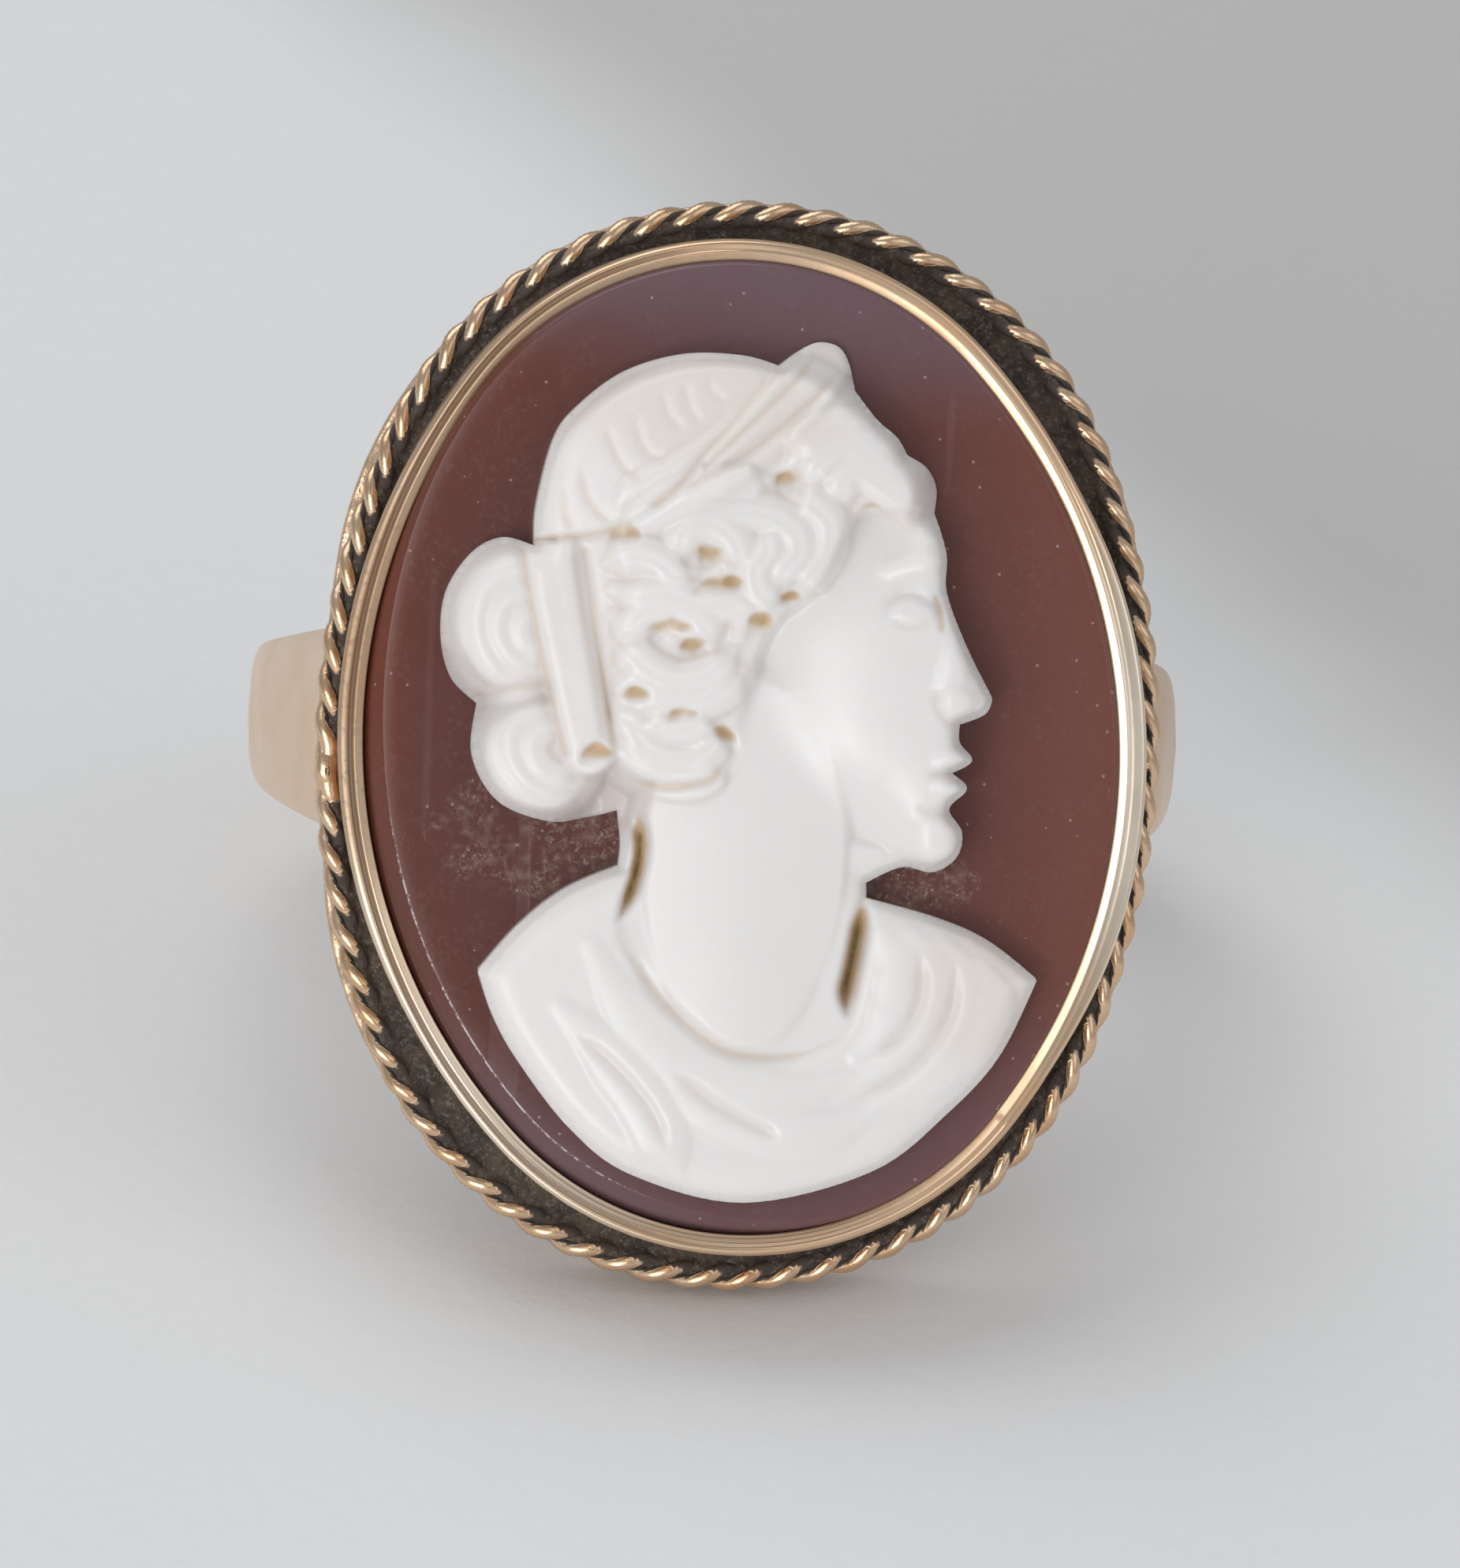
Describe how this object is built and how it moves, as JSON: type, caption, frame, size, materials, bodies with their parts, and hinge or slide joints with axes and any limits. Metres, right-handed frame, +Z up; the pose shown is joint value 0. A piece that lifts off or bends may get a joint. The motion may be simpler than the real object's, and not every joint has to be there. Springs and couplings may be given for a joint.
{
  "type": "cameo ring",
  "caption": "Finger ring with an oval carved cameo in a rimmed collet, a twisted wire border, a base rail and a band that widens to the head.",
  "frame": {"origin": "centre of the bounding box, on the surface that the ring lies on", "axes": "+Z up from the surface; the cameo faces -Y and up by 27 degrees; +X to the right of the figure as seen from the front; the finger hole runs along (0, 0.455, 0.890)"},
  "size_m": [0.0188, 0.0244, 0.0197],
  "materials": {
    "gold": "soft polished pale gold",
    "brown_layer": "polished",
    "white_layer": "carved, softly polished"
  },
  "bodies": {
    "root": {"gold_mount": "gold", "cameo_ground": "brown_layer", "cameo_figure": "white_layer"}
  },
  "joints": []
}
